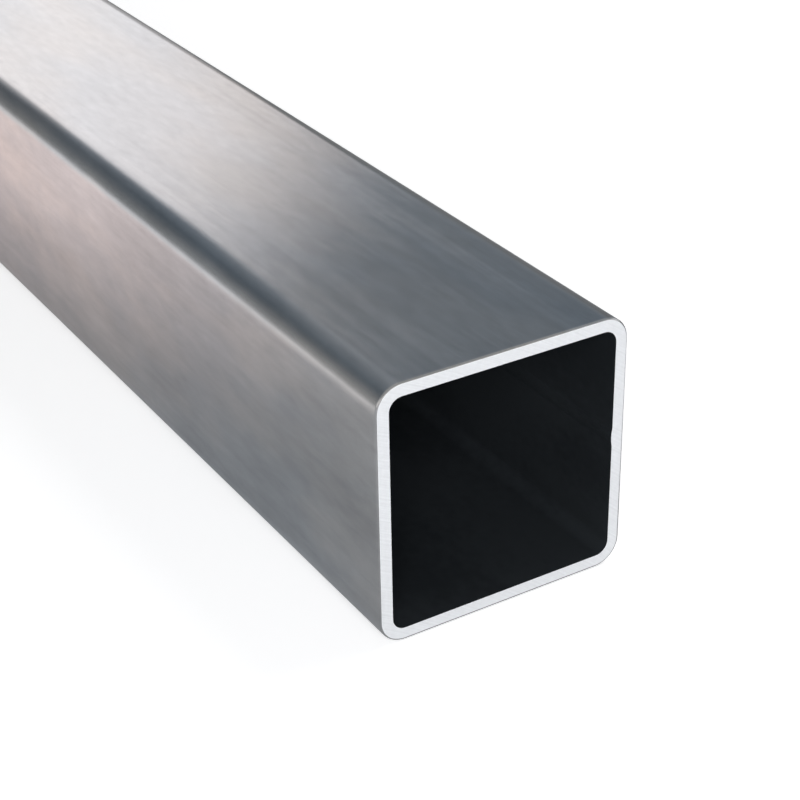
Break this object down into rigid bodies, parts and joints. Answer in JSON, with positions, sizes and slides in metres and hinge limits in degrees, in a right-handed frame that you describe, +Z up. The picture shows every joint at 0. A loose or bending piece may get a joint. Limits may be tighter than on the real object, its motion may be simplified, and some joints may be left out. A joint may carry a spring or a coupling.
{
  "type": "square steel tube",
  "caption": "Straight square hollow section with rounded corners, an open bore and square sawn ends, for frames and supports.",
  "frame": {"origin": "middle of the side that the tube lies on, half way along its length", "axes": "+X along the length, +Z up from the side that it lies on, and the weld seam runs along the +Y side, 1 mm above its middle"},
  "size_m": [1, 0.04, 0.04],
  "materials": {
    "mill_steel": "bare mill-finish steel, satin, with fine lines along the length"
  },
  "bodies": {
    "root": {"square_tube": "mill_steel"}
  },
  "joints": []
}
